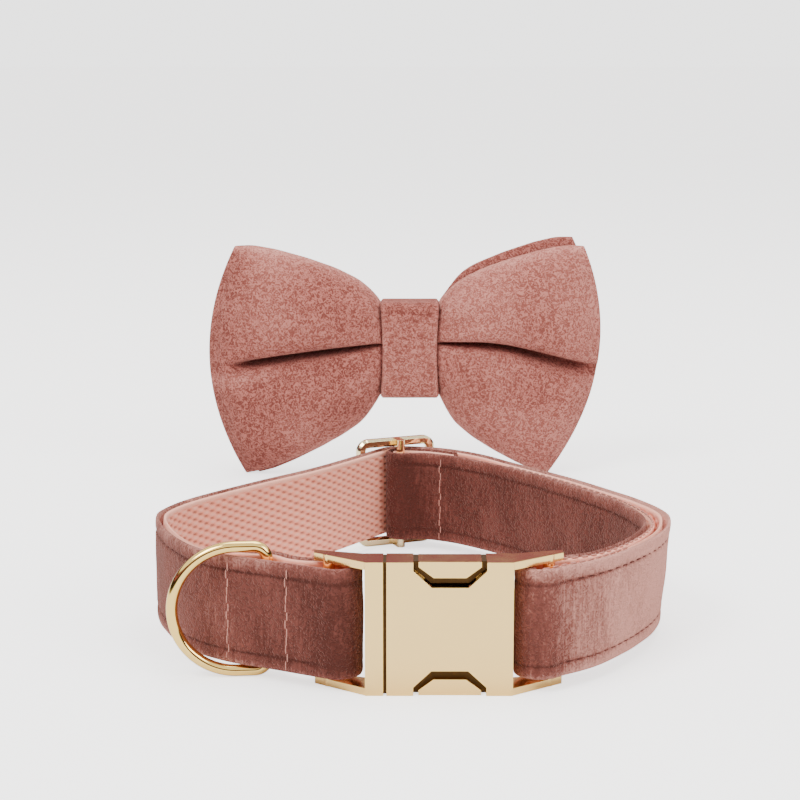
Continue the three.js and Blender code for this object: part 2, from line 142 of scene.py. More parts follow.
# %% [markdown]
# ## What the gold sees
# Polished gold shows only what stands round it. The surroundings are a few level bands: grey at the
# horizon, then dark, a narrow rose one, dark again, and bright from there up. They draw the dark and
# rose bands on the metal. The camera itself sees an even pale backdrop.

# %% Surroundings in bands
world = bpy.data.worlds.new("studio")
bpy.context.scene.world = world
world.use_nodes = True
sky_nodes, sky_links = world.node_tree.nodes, world.node_tree.links
direction = sky_nodes.new("ShaderNodeTexCoord")
direction_parts = sky_nodes.new("ShaderNodeSeparateXYZ")
ramp = sky_nodes.new("ShaderNodeValToRGB")
ray = sky_nodes.new("ShaderNodeLightPath")
either = sky_nodes.new("ShaderNodeMix")
either.data_type = "RGBA"
backdrop = (2.75, 2.73, 2.71, 1)
sky_links.new(direction.outputs["Generated"], direction_parts.inputs[0])
sky_links.new(direction_parts.outputs["Z"], ramp.inputs[0])
bands = [(0.0, (0.5, 0.49, 0.48)), (0.08, (0.04, 0.035, 0.03)), (0.2, (0.05, 0.03, 0.03)),
         (0.235, (0.36, 0.12, 0.2)), (0.29, (0.36, 0.12, 0.2)), (0.33, (0.04, 0.03, 0.03)),
         (0.43, (1.45, 1.43, 1.4)), (1.0, (1.1, 1.08, 1.07))]
while len(ramp.color_ramp.elements) < len(bands):
    ramp.color_ramp.elements.new(0.5)
for step, (height, color) in zip(ramp.color_ramp.elements, bands):
    step.position, step.color = height, (*color, 1)
sky_links.new(ray.outputs["Is Camera Ray"], either.inputs["Factor"])
sky_links.new(ramp.outputs[0], either.inputs[6])
either.inputs[7].default_value = backdrop
sky_links.new(either.outputs[2], sky_nodes["Background"].inputs[0])
print("bands round the object:", len(bands))

# %% [markdown]
# ## Tools for surfaces
# Every cloth piece is a grid: rows along it, columns round its section. One helper joins grid points to
# faces, another makes the mesh, gives each point its place on the cloth (so that a weave can follow the
# strip) and rides it on its body.

# %% Grid and mesh helpers
def grid_faces(rows, columns, rows_closed=False, columns_closed=False):
    """Quads that join each grid point to its next row and next column."""
    r = np.arange(rows if rows_closed else rows - 1)
    c = np.arange(columns if columns_closed else columns - 1)
    a, b = np.meshgrid(r, c, indexing="ij")
    after, beside = (a + 1) % rows, (b + 1) % columns
    corners = [a * columns + b, after * columns + b, after * columns + beside, a * columns + beside]
    return np.stack(corners, -1).reshape(-1, 4)


def make_piece(name, points, faces, material, stands_for=(), body="collar_and_bow",
               on_cloth=None, painted_light=None):
    """A smooth mesh from points in mm and lists of corners, with outward faces, riding on its body."""
    mesh = bpy.data.meshes.new(name)
    mesh.from_pydata(to_frame(points.reshape(-1, 3)).tolist(), [], [list(f) for f in faces])
    if on_cloth is not None:
        places = mesh.attributes.new("on_cloth", "FLOAT_VECTOR", "POINT")
        places.data.foreach_set("vector", np.ascontiguousarray(on_cloth, np.float32).ravel())
    # per-point painted light and shade, which the velvet's shader adds to its colour
    if painted_light is not None:
        leans = mesh.attributes.new("painted_light", "FLOAT", "POINT")
        leans.data.foreach_set("value", np.ascontiguousarray(painted_light, np.float32).ravel())
    turned = bmesh.new()
    turned.from_mesh(mesh)
    bmesh.ops.recalc_face_normals(turned, faces=turned.faces)
    turned.to_mesh(mesh)
    turned.free()
    mesh.polygons.foreach_set("use_smooth", np.ones(len(mesh.polygons), bool))
    mesh.materials.append(material)
    item = bpy.data.objects.new(name, mesh)
    bpy.context.scene.collection.objects.link(item)
    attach(item, body)
    if stands_for:
        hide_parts(*stands_for)
    print(f"{name}: {len(mesh.vertices)} points, {len(mesh.polygons)} faces")
    return item


def smoothstep(value, low, high):
    """0 below low, 1 above high, and 3t squared minus 2t cubed between."""
    t = np.clip((np.asarray(value, float) - low) / (high - low), 0, 1)
    return t * t * (3 - 2 * t)


def bell(value, middle, width):
    """A bump of height 1: e to the minus square of the distance over the width."""
    return np.exp(-(((np.asarray(value, float) - middle) / width) ** 2))


def soft_noise(x, y, seed):
    """Smooth values, mostly from -1 to 1: a few seeded sine waves of unlike direction and length, added
    and evened."""
    waves, evened = 7, 4
    random = np.random.default_rng(seed)
    turns = random.uniform(0, math.pi, waves)
    wavelengths = random.uniform(0.6, 1.9, waves)
    starts = random.uniform(0, 6.28, waves)
    total = np.zeros(np.broadcast(x, y).shape)
    for turn, wavelength, start in zip(turns, wavelengths, starts):
        total += np.sin((x * math.cos(turn) + y * math.sin(turn)) * 2 * math.pi / wavelength + start)
    return total / evened


# %% [markdown]
# ## Helpers for the finishes
# Cloth and metal are never one even colour. Painted pictures could give their patterns, but they blur
# close up and need an unwrapped surface. Patterns that are worked out from the place on the piece stay
# sharp. The helpers below are their parts: a noise, a sum or product, a ramp of shades, a stretched
# range, and a bump that tilts the shading.

# %% Helpers for materials
def add_node(tree, kind, **values):
    """A new node with its properties set."""
    node = tree.nodes.new(kind)
    for key, value in values.items():
        setattr(node, key, value)
    return node


def coordinates(tree, scale, attribute=None):
    """Object coordinates in metres, or the piece's own place on its cloth in mm, stretched by scale."""
    if attribute:
        source = add_node(tree, "ShaderNodeAttribute", attribute_name=attribute).outputs["Vector"]
    else:
        source = add_node(tree, "ShaderNodeTexCoord").outputs["Object"]
    mapping = add_node(tree, "ShaderNodeMapping")
    mapping.inputs["Scale"].default_value = scale
    tree.links.new(source, mapping.inputs["Vector"])
    return mapping.outputs["Vector"]


def noise(tree, vector, scale, detail=3.0, roughness=0.55, distortion=0.0):
    """The value of a noise texture on these coordinates."""
    node = add_node(tree, "ShaderNodeTexNoise")
    tree.links.new(vector, node.inputs["Vector"])
    node.inputs["Scale"].default_value = scale
    node.inputs["Detail"].default_value = detail
    node.inputs["Roughness"].default_value = roughness
    node.inputs["Distortion"].default_value = distortion
    return node.outputs["Fac"]


def arithmetic(tree, operation, *values):
    """One math node on links or numbers."""
    node = add_node(tree, "ShaderNodeMath", operation=operation)
    for place, value in enumerate(values):
        if isinstance(value, (int, float)):
            node.inputs[place].default_value = value
        else:
            tree.links.new(value, node.inputs[place])
    return node.outputs[0]


def shades(tree, value, stops):
    """A colour ramp: each stop is a position and a linear colour."""
    node = add_node(tree, "ShaderNodeValToRGB")
    tree.links.new(value, node.inputs[0])
    ladder = node.color_ramp.elements
    while len(ladder) < len(stops):
        ladder.new(0.5)
    for step, (position, color) in zip(ladder, stops):
        step.position, step.color = position, (*color, 1)
    return node.outputs[0]


def bumped(tree, shader, height, depth, strength=1.0):
    """Tilts the shading as if the height, from 0 to 1, rose by depth metres."""
    node = add_node(tree, "ShaderNodeBump")
    node.inputs["Distance"].default_value = depth
    node.inputs["Strength"].default_value = strength
    tree.links.new(height, node.inputs["Height"])
    tree.links.new(node.outputs["Normal"], shader.inputs["Normal"])


def stretched(tree, value, low, high, to_low=0.0, to_high=1.0, interpolation="LINEAR"):
    """The value's range from low to high, stretched to run from to_low to to_high."""
    node = add_node(tree, "ShaderNodeMapRange", interpolation_type=interpolation)
    tree.links.new(value, node.inputs["Value"])
    node.inputs["From Min"].default_value = low
    node.inputs["From Max"].default_value = high
    node.inputs["To Min"].default_value = to_low
    node.inputs["To Max"].default_value = to_high
    return node.outputs[0]


# %% [markdown]
# ## Velvet
# Velvet is a short standing pile: it is dark where one looks into it, light where it leans or is seen
# from the side, and it shows a winding grain of about a millimetre. Real hairs could make it, but they
# are heavy and don't stay with an exported mesh, so it is a shader with sheen for the glancing light.
# Its shade is a sum: the winding grain, fine specks, slow patches where the pile lies another way, and, on
# the strap, streaks brushed across it. A value on each point of the cloth adds painted light and shade:
# lighter where light falls on it, darker in hems, folds, creases and where it is turned from the light. One
# sum picks the colour from dark to light, so all of them stay one cloth. The bow's velvet is paler and
# grainier than the strap's.

# %% Velvet materials
def winding_grain(tree, vector, scale):
    """The grain of brushed velvet: a twisted noise whose middle values are stretched, so that it is mostly
    ridge, 1, or groove, 0, and the ridges wind between each other."""
    hills = noise(tree, vector, scale, detail=0.4, roughness=0.5, distortion=1.6)
    return stretched(tree, hills, 0.36, 0.62, interpolation="SMOOTHSTEP")


def velvet_material(name, dark, middle, light, grain_share, streaks=0.0):
    """Velvet: winding grain of 0.9 mm, specks of 0.3 mm and patches of 17 mm mixed into one value that
    picks the shade. The piece's own per-point attribute, from 0 to 1, adds painted light and shade on top."""
    grain_scale, speck_scale, patch_scale = 1050, 3200, 60
    patch_share, painted_light_share = 0.14, 0.44
    material, shader = principled(name, middle, 0.92)
    tree = material.node_tree
    place = coordinates(tree, (1, 1, 1))
    grain = winding_grain(tree, place, grain_scale)
    specks = noise(tree, place, speck_scale, 2.0, 0.6, 0.5)
    patches = noise(tree, place, patch_scale, 2.0, 0.5, 0.4)
    height = arithmetic(tree, "MULTIPLY_ADD", grain, 0.7, arithmetic(tree, "MULTIPLY", specks, 0.3))
    slow = arithmetic(tree, "MULTIPLY", patches, patch_share)
    mixed = arithmetic(tree, "MULTIPLY_ADD", height, grain_share, slow)
    if streaks:
        brushed = noise(tree, coordinates(tree, (1.7, 0.15, 1), "on_cloth"), 1.0, 3.0, 0.65, 0.3)
        rest = arithmetic(tree, "MULTIPLY", mixed, 1 - streaks)
        mixed = arithmetic(tree, "MULTIPLY_ADD", brushed, streaks, rest)
    # painted light and shade, read from the piece's per-point attribute
    painted_light_values = add_node(tree, "ShaderNodeAttribute", attribute_name="painted_light").outputs["Fac"]
    mixed = arithmetic(tree, "MULTIPLY_ADD", painted_light_values, painted_light_share, mixed)
    color = shades(tree, mixed, [(0.2, dark), (0.46, middle), (0.74, light)])
    tree.links.new(color, shader.inputs["Base Color"])
    bumped(tree, shader, height, 0.0003, 0.9)
    shader.inputs["Sheen Weight"].default_value = 0.35
    shader.inputs["Sheen Roughness"].default_value = 0.4
    shader.inputs["Sheen Tint"].default_value = (1.0, 0.56, 0.48, 1)
    shader.inputs["Specular IOR Level"].default_value = 0.08
    return material


strap_velvet = velvet_material("strap velvet", dark=(0.085, 0.025, 0.019), middle=(0.2, 0.064, 0.05),
                               light=(0.6, 0.28, 0.225), grain_share=0.2, streaks=0.38)
bow_velvet = velvet_material("bow velvet", dark=(0.2, 0.055, 0.043), middle=(0.46, 0.158, 0.125),
                             light=(0.7, 0.31, 0.255), grain_share=0.37)
print("velvets:", strap_velvet.name, "and", bow_velvet.name)

# %% [markdown]
# ## Webbing and thread
# The webbing is woven in oval bumps laid like bricks, with a plain border along its upper edge. Each
# yarn could be a tube of its own, but there would be thousands. Two cosines make the bumps: a strong
# one that falls along the strap and a weaker one that rises. The same two are used again for the relief
# of the webbing's mesh, so colour and relief agree, and both read the place on the cloth, so the weave
# follows the strap round its bends.

# %% Webbing and thread materials
weave_pitch, weave_row, weave_top = 4.5, 1.9, 23.5
weave_falling, weave_rising, border_blend = 0.3, 0.2, 0.4


def webbing_material():
    """Half plus the falling and the rising cosine, with painted light on the bumps and painted shade in the
    gaps, and a noise of fine yarn across them. Above weave_top the border is plain."""
    material, shader = principled("webbing", (0.74, 0.38, 0.31), 0.85)
    tree = material.node_tree
    place = coordinates(tree, (1, 1, 1), "on_cloth")
    split = add_node(tree, "ShaderNodeSeparateXYZ")
    tree.links.new(place, split.inputs[0])
    along = arithmetic(tree, "MULTIPLY", split.outputs["X"], 2 * math.pi / weave_pitch)
    up = arithmetic(tree, "MULTIPLY", split.outputs["Y"], 2 * math.pi / weave_row)
    falling = arithmetic(tree, "COSINE", arithmetic(tree, "ADD", along, up))
    rising = arithmetic(tree, "COSINE", arithmetic(tree, "SUBTRACT", along, up))
    risen = arithmetic(tree, "MULTIPLY_ADD", rising, weave_rising, 0.5)
    weave = arithmetic(tree, "MULTIPLY_ADD", falling, weave_falling, risen)
    yarn = noise(tree, coordinates(tree, (1, 5, 1), "on_cloth"), 1.6, 3.0, 0.7, 0.5)
    border = stretched(tree, split.outputs["Y"], weave_top - border_blend, weave_top + border_blend,
                       interpolation="SMOOTHSTEP")
    weave = arithmetic(tree, "MAXIMUM", weave, arithmetic(tree, "MULTIPLY", border, 0.85))
    yarn_share = arithmetic(tree, "MULTIPLY", yarn, 0.42)
    mixed = arithmetic(tree, "ADD", arithmetic(tree, "MULTIPLY", weave, 0.6), yarn_share)
    # painted shade in the gaps between the bumps, painted light on their crowns
    gap, side, crown = (0.5, 0.11, 0.065), (1.0, 0.34, 0.22), (1.0, 0.47, 0.34)
    color = shades(tree, mixed, [(0.2, gap), (0.45, side), (0.78, crown)])
    tree.links.new(color, shader.inputs["Base Color"])
    bumped(tree, shader, mixed, 0.0006, 0.8)
    shader.inputs["Sheen Weight"].default_value = 0.2
    shader.inputs["Specular IOR Level"].default_value = 0.25
    return material


def thread_material(name, color):
    """Twisted thread: a fine noise of 0.2 mm for its plies, between the colour and a darker one, a
    little shine."""
    material, shader = principled(name, color, 0.85)
    tree = material.node_tree
    plies = noise(tree, coordinates(tree, (1, 1, 1)), 4200, 2.0, 0.6)
    darker = tuple(channel * 0.72 for channel in color)
    tree.links.new(shades(tree, plies, [(0.35, darker), (0.65, color)]), shader.inputs["Base Color"])
    bumped(tree, shader, plies, 0.00008)
    shader.inputs["Specular IOR Level"].default_value = 0.15
    return material


webbing_cloth = webbing_material()
pale_thread = thread_material("pale thread", (0.62, 0.28, 0.225))
rose_thread = thread_material("rose thread", (0.1, 0.03, 0.024))
print(f"bumps of the weave: {weave_pitch} mm along and {weave_row} mm up between like ones")

# %% [markdown]
# ## Gold plating
# Plating is a mirror with a little haze. Its colour is the metal's own, so it goes straight on the
# shader, and what varies is the haze: faint brushed lines and cloudy wear that spread the highlights.
# The plate is satin, the ring's wire and the slide are polished, and the slide is the palest.

# %% Gold materials
def gold_material(name, color, smooth, hazy):
    """Metal whose roughness wanders from smooth to hazy with a fine and a cloudy noise."""
    material, shader = principled(name, color, smooth, 1.0)
    tree = material.node_tree
    clouds = noise(tree, coordinates(tree, (1, 1, 1)), 160, 3.0, 0.6)
    brushed = noise(tree, coordinates(tree, (60, 60, 2600)), 1.0, 2.0, 0.6)
    haze = arithmetic(tree, "MULTIPLY", clouds, brushed)
    tree.links.new(stretched(tree, haze, 0.12, 0.42, smooth, hazy), shader.inputs["Roughness"])
    bumped(tree, shader, brushed, 0.000004, 0.5)
    return material


plate_gold = gold_material("plate gold", (1.0, 0.70, 0.27), 0.11, 0.22)
wire_gold = gold_material("wire gold", (1.0, 0.70, 0.22), 0.03, 0.09)
slide_gold = gold_material("slide gold", (1.0, 0.84, 0.5), 0.03, 0.09)
print("golds:", plate_gold.name, wire_gold.name, slide_gold.name)

# %% [markdown]
# ## The strap's route
# The strap is one strip of webbing with velvet sewn to it: it folds round the buckle's left bar, runs
# round the left side and over the slide, round the right side, folds round the buckle's right bar and
# runs back inside to the slide. The CAD bends both layers along one line, a centripetal Catmull-Rom
# curve through named stations. A curve drawn by hand would leave the solid somewhere. The same stations
# give the same line here, so the cloth lies where the solid does.

# %% Curves through stations
loop_width, loop_depth = 125.0, 131.0
strap_width, strap_bottom = 25.0, 2.9
webbing_thick, seam_gap, strap_thick, layer_gap = 1.2, 0.2, 2.6, 0.35


def through(knots, fineness=60):
    """Centripetal Catmull-Rom: between two knots a cubic whose slopes weigh the neighbours by the root
    of their distance, with a mirrored knot beyond each end."""
    knots = np.asarray(knots, float)
    p = np.vstack([2 * knots[0] - knots[1], knots, 2 * knots[-1] - knots[-2]])
    p0, p1, p2, p3 = p[:-3], p[1:-2], p[2:-1], p[3:]
    spans = ((p0, p1), (p1, p2), (p2, p3))
    d0, d1, d2 = (np.sqrt(np.linalg.norm(b - a, axis=1))[:, None] for a, b in spans)
    m1 = d1 * ((p1 - p0) / d0 - (p2 - p0) / (d0 + d1) + (p2 - p1) / d1)
    m2 = d1 * ((p2 - p1) / d1 - (p3 - p1) / (d1 + d2) + (p3 - p2) / d2)
    t = np.linspace(0, 1, fineness, endpoint=False)[None, :, None]
    c2 = -3 * p1 + 3 * p2 - 2 * m1 - m2
    c3 = 2 * p1 - 2 * p2 + m1 + m2
    line = p1[:, None] + m1[:, None] * t + c2[:, None] * t ** 2 + c3[:, None] * t ** 3
    return np.vstack([line.reshape(-1, knots.shape[1]), knots[-1:]])


def lengths(line):
    """Distance from the start to each point of a line."""
    return np.concatenate([[0], np.cumsum(np.linalg.norm(np.diff(line, axis=0), axis=1))])


def at(line, distance):
    """Points of a line at these distances along it."""
    run = lengths(line)
    return np.stack([np.interp(distance, run, line[:, k]) for k in range(line.shape[1])], -1)


def arc(centre, radius, start, end, count):
    """Points on a circle about centre, from one angle to the other in degrees."""
    angle = np.radians(np.linspace(start, end, count))
    return np.stack([centre[0] + radius * np.cos(angle), centre[1] + radius * np.sin(angle)], -1)


# %% [markdown]
# ## Stations
# The stations are shares of the loop's width and depth, so that the route keeps its shape when the loop
# gets another size. The folds round the bars and the arch over the slide are arcs, because cloth that
# is pulled round a bar follows it.

# %% Stations and folds of the route
left_stations = [(0.294, -0.779), (0.498, -0.702), (0.656, -0.602), (0.775, -0.455), (0.866, -0.279),
                 (0.903, -0.124), (0.861, -0.012), (0.819, 0.112), (0.59, 0.39), (0.35, 0.655)]
right_stations = [(0.168, 1.043), (0.321, 0.93), (0.46, 0.748), (0.69, 0.446), (0.807, 0.263),
                  (0.917, 0.076), (0.966, -0.1), (0.96, -0.232), (0.874, -0.385), (0.656, -0.578),
                  (0.36, -0.755), (0.086, -0.86)]
left_bar, right_bar, middle_bar = (-16.7, -54.9), (31.6, -54.9), (-1.2, 66.5)
fold_radius, front_slope, left_slope, right_slope = 2.7, 37, 56, 9
fold_inwards, fold_forwards = 1.8, 0.5
left_fold = (left_bar[0] + fold_inwards, left_bar[1] - fold_forwards)
right_fold = (right_bar[0] - fold_inwards, right_bar[1] - fold_forwards)
middle_radius = 1.5


def stations(rows, fold, side):
    """Across is the share of the way out to the loop's side, from the fold in front (along below 0) and
    from the slide's middle bar at the back. Along is a share of half the depth."""
    across, along = np.array(rows).T
    start = np.where(along < 0, fold[0], middle_bar[0])
    return np.stack([start + (side - start) * across, along * loop_depth / 2], -1)


left_knots = stations(left_stations, left_fold, -loop_width / 2)
right_knots = stations(right_stations, right_fold, loop_width / 2)
over_radius = middle_radius + strap_thick + layer_gap
over_slide = arc(middle_bar, over_radius, 90 + left_slope, 90 - right_slope, 5)
outer_run = through(np.vstack([
    arc(left_fold, fold_radius, -100, -90 - front_slope, 2), left_knots, over_slide, right_knots,
    arc(right_fold, fold_radius, front_slope - 90, -80, 2)]))
outer_length = lengths(outer_run)[-1]


def beside(distance, inward):
    """A point this far along the outer run and this far towards the neck."""
    distance = min(max(distance, 0), outer_length)
    a, b = at(outer_run, np.array([max(distance - 0.2, 0), min(distance + 0.2, outer_length)]))
    x, y = (b - a) / np.linalg.norm(b - a)
    return at(outer_run, np.array([distance]))[0] + np.array([y, -x]) * inward


# %% [markdown]
# ## Outer run, return and inner run
# The outer run is what one sees from outside. The other stretches lie a little inside it, so their
# points are given by how far along the outer run they are and how far towards the neck.

# %% The whole route
runs = lengths(outer_run)
past = (runs > outer_length / 4) & (outer_run[:, 0] >= middle_bar[0])
slide_at = runs[np.argmax(past)]
right_length = outer_length - slide_at
ring_apart, ring_from_fold, return_length, first_seam, tail_length = 3.2, 18.0, 33.6, 13.3, 18.0
tail_apart = strap_thick + 2 * layer_gap
# Inner run: how far back along the right side, as a share, and how many mm inside the outer run.
inner_shares = [(0.045, 3.6), (0.1, 1.1), (0.2, 0.6), (0.32, 1.2), (0.45, 1.6), (0.58, 0.9), (0.68, 0.6),
                (0.78, 1.0)]
# Return round the left bar: between which two distances, how far between them, and the share of
# ring_apart.
return_run = [(ring_from_fold, return_length, 1, 0.11), (ring_from_fold, return_length, 0.75, 0.17),
              (ring_from_fold, return_length, 0.35, 0.6), (first_seam, ring_from_fold, 1, 1.06),
              (first_seam, ring_from_fold, 0.5, 0.86), (0, first_seam, 1, 0.62), (0, first_seam, 0.7, 0.66),
              (0, first_seam, 0.42, 1.1)]
return_knots = [beside(start + (end - start) * share, apart * ring_apart)
                for start, end, share, apart in return_run]
strap_line = through(np.vstack([
    return_knots,
    arc(left_fold, fold_radius, 80, -90 - front_slope, 9), left_knots, over_slide, right_knots,
    arc(right_fold, fold_radius, front_slope - 90, -260, 9),
    [beside(outer_length - back * right_length, apart) for back, apart in inner_shares],
    [beside(slide_at + tail_length * 1.2, tail_apart - layer_gap),
     beside(slide_at + tail_length * 0.8, tail_apart + layer_gap),
     beside(slide_at + tail_length * 0.45, tail_apart + 2 * layer_gap)],
    arc(middle_bar, middle_radius, -90 - right_slope, -270 - right_slope, 7),
    [beside(slide_at + tail_length * 0.5, strap_thick + layer_gap),
     beside(slide_at + tail_length, strap_thick + layer_gap)]]))
strap_length = lengths(strap_line)[-1]
print(f"outer run {outer_length:.1f} mm, slide at {slide_at:.1f} mm, whole strap {strap_length:.1f} mm")

# %% [markdown]
# ## A layer of the strap
# A layer is a flat closed section carried along the route: up its outer face and down its inner face,
# rounded at the two edges. A flat sheet with Solidify would get its thickness too, but the same relief
# on both sides. Here each face has its own relief, a function of the distance along the strap and the
# height on it, so a hem, a stitched groove or a weave is only another formula.

# %% Strip surface
right_lean = 2.2


def lean(points):
    """The right bend leans: its lower edge lies further in, by the lean times the share below the top."""
    low = 1 - (points[..., 2] - strap_bottom) / strap_width
    points[..., 0] -= right_lean * low * smoothstep(points[..., 0], loop_width * 0.28, loop_width * 0.5)
    return points


def frame_on_strap(distance):
    """Place and left-hand normal of the route at these distances."""
    distance = np.asarray(distance, float)
    place = at(strap_line, distance)
    ahead = at(strap_line, np.minimum(distance + 0.4, strap_length))
    behind = at(strap_line, np.maximum(distance - 0.4, 0))
    along = ahead - behind
    along /= np.linalg.norm(along, axis=-1, keepdims=True)
    return place, np.stack([-along[..., 1], along[..., 0]], -1)


def on_strap(distance, height, offset):
    """The point at a distance along the strap, a height above its lower edge and an offset from the
    bare face."""
    place, normal = frame_on_strap(distance)
    plan = place + normal * np.asarray(offset)[..., None]
    height = np.broadcast_to(height, plan.shape[:-1])
    return lean(np.concatenate([plan, (strap_bottom + height)[..., None]], -1))


def strip(name, inner, outer, inner_relief, outer_relief, step, inner_columns, outer_columns, material,
          stands_for, painted_light=None, shrink=0.0):
    """Heights are drawn a little closer near the edges by a sine. The section is thin at both edges:
    its half thickness is a quarter circle over the last 0.6 mm. Reliefs in mm are added outwards from
    each face."""
    def heights(count):
        """Heights from edge to edge: even shares less a small sine, which draws them to the edges."""
        even = np.linspace(0, 1, count)
        even = even - 0.12 * np.sin(2 * math.pi * even) / math.pi
        return shrink + (strap_width - 2 * shrink) * even

    rows = int(strap_length / step)
    distance = np.linspace(0, strap_length, rows)[:, None]
    up, down = heights(outer_columns), heights(inner_columns)[::-1][1:-1]
    height = np.concatenate([up, down])[None, :]
    edge = 0.6
    half = strap_width / 2 - shrink
    nearness = np.clip((np.abs(height - strap_width / 2) - (half - edge)) / edge, 0, 1)
    round_off = np.sqrt(1 - nearness ** 2)
    middle = (inner + outer) / 2
    outside = np.arange(height.size)[None, :] < outer_columns
    face = np.where(outside, outer + outer_relief(distance, height), inner - inner_relief(distance, height))
    offset = middle + (face - middle) * round_off
    distance, height = np.broadcast_to(distance, offset.shape), np.broadcast_to(height, offset.shape)
    points = on_strap(distance, height, offset)
    columns = offset.shape[1]
    faces = grid_faces(rows, columns, columns_closed=True).tolist()
    faces += [list(range(columns)), list(range((rows - 1) * columns, rows * columns))]
    cloth = np.stack([distance, height, offset], -1)
    # painted light and shade for each point of the strip
    painted_light_values = None if painted_light is None else np.broadcast_to(painted_light(distance, height), offset.shape)
    return make_piece(name, points, faces, material, stands_for, on_cloth=cloth, painted_light=painted_light_values)


# %% [markdown]
# ## Relief and painted light of the strap
# Velvet that is sewn to webbing swells between its two hem lines and is pressed in along them. Where it
# folds round the metal it bulges into a nose. Light is painted on the rolled edges and on the right side,
# and shade in the hems, at the folds and on the inner run, so the same distances serve the painted light
# and shade. The webbing has its weave in the mesh too.

# %% Relief and painted light
def nearest_distance(spot, low=0.0, high=1.0):
    """How far along the strap it passes nearest to a spot, between two shares of its length."""
    run = lengths(strap_line)
    gap = np.linalg.norm(strap_line - np.asarray(spot), axis=1)
    gap[(run < low * strap_length) | (run > high * strap_length)] = 1e9
    return run[np.argmin(gap)]


hem_top, hem_bottom, hem_pitch = 21.6, 3.1, 3.0
left_turn = nearest_distance((left_bar[0] + 4, left_bar[1] - 3), 0.0, 0.3)
right_turn = nearest_distance((right_bar[0] - 4, right_bar[1] - 3), 0.5, 0.8)
right_middle = nearest_distance(right_knots[-4], 0.5, 0.7)
tail_turn = nearest_distance(middle_bar, 0.8, 1.0)
print(f"folds at {left_turn:.1f}, {right_turn:.1f} and {tail_turn:.1f} mm along the strap")


def velvet_relief(distance, height):
    """Two stitched hem lines pressed in by a quarter of a mm, plump between and beyond them, puckers
    along the hems, slow waves, and a nose at each fold."""
    flat_folds = 1 - 0.85 * (bell(distance, left_turn, 5) + bell(distance, right_turn, 5))
    hems = (bell(height, hem_top, 0.4) + bell(height, hem_bottom, 0.4)) * flat_folds
    plump = 0.16 * bell(height, (hem_top + hem_bottom) / 2, 8)
    rolls = 0.12 * (bell(height, 23.6, 1) + bell(height, 1.3, 1))
    along_hems = bell(height, hem_top, 1.5) + bell(height, hem_bottom, 1.5)
    puckers = 0.1 * np.sin(distance * 2 * math.pi / hem_pitch) * along_hems
    waves = 0.12 * soft_noise(distance / 14, height / 11, 3)
    folds = 0.95 * bell(distance, right_turn, 4) + 0.55 * bell(distance, left_turn, 4)
    noses = folds * bell(height, strap_width / 2, 14)
    return plump + rolls + puckers + waves + noses - 0.26 * hems


def weave_relief(distance, height):
    """Oval bumps, laid like bricks: a cosine that falls along the strap plus a weaker one that rises.
    The border above is plain."""
    along, up = distance * 2 * math.pi / weave_pitch, height * 2 * math.pi / weave_row
    crowns = weave_falling * np.cos(along + up) + weave_rising * np.cos(along - up)
    plain = smoothstep(height, weave_top - border_blend, weave_top + border_blend)
    return 0.3 * crowns * (1 - plain) + 0.04 * plain


def strap_painted_light(distance, height):
    """Painted light and shade on the strap: painted light on the rolled edges and the right side, painted
    shade in the hem lines, at the folds round the metal and on the inner run, with slow waves between."""
    edges = 0.45 * (bell(height, strap_width, 2.2) + bell(height, 0, 1.4))
    hems = 0.45 * (bell(height, hem_top - 0.05, 0.32) + bell(height, hem_bottom + 0.05, 0.32))
    right = 0.84 * bell(distance, right_middle - 4, 52)
    folds = bell(distance, left_turn, 16) + bell(distance, right_turn, 9) + bell(distance, tail_turn, 12)
    inside = 0.24 * smoothstep(distance, right_turn + 3, right_turn + 20)
    waves = 0.12 * soft_noise(distance / 22, height / 30, 5)
    return 0.18 + edges - hems + right - 0.3 * folds - inside + waves


def flat(distance, height):
    """No relief."""
    return np.zeros(np.broadcast(distance, height).shape)


# %% Velvet and webbing of the strap
strip("velvet_strip", webbing_thick + seam_gap, strap_thick, flat, velvet_relief, 0.75, 5, 58,
      strap_velvet, ["strap_velvet"], painted_light=strap_painted_light)
strip("webbing_strip", 0.0, webbing_thick, weave_relief, flat, 0.55, 76, 5,
      webbing_cloth, ["strap_webbing"], shrink=0.4)

# %% [markdown]
# ## Stitches
# A stitch is a short thread that dips into the cloth at both ends. A dashed line in the material would
# be flat, and these catch the light and cast shadows. One small tube is the pattern for all of them: it
# is copied along each row as one array, lying on the strap's face. The hems are sewn in dark rose, the
# seams across the strap and the webbing's edge in a pale one.

# %% Stitches on the strap
def stitch_tube(length, radius, rise):
    """A tube along x: a circle carried along a low arch, thin at its ends. Returns points and faces."""
    rings, sides = 7, 6
    t = np.linspace(-1, 1, rings)[:, None]
    angle = np.linspace(0, 2 * math.pi, sides, endpoint=False)[None, :]
    girth = radius * np.sqrt(np.clip(1.02 - t ** 6, 0, 1))
    points = np.stack([np.broadcast_to(t * length / 2, (rings, sides)), girth * np.cos(angle),
                       girth * np.sin(angle) + rise * (1 - t ** 4) - radius * 0.5], -1)
    faces = grid_faces(rings, sides, columns_closed=True).tolist()
    ends = [list(range(sides)), list(range((rings - 1) * sides, rings * sides))]
    return points.reshape(-1, 3), faces + ends


def sew(name, origins, along, outward, length, radius, material, slot):
    """One tube per stitch: its x runs along the row, its z points out of the cloth."""
    pattern, faces = stitch_tube(length, radius, radius * 0.9)
    across = np.cross(outward, along)
    points = (origins[:, None] + pattern[None, :, 0:1] * along[:, None]
              + pattern[None, :, 1:2] * across[:, None] + pattern[None, :, 2:3] * outward[:, None])
    every = [[corner + k * len(pattern) for corner in face] for k in range(len(origins)) for face in faces]
    return make_piece(name, points, every, material)


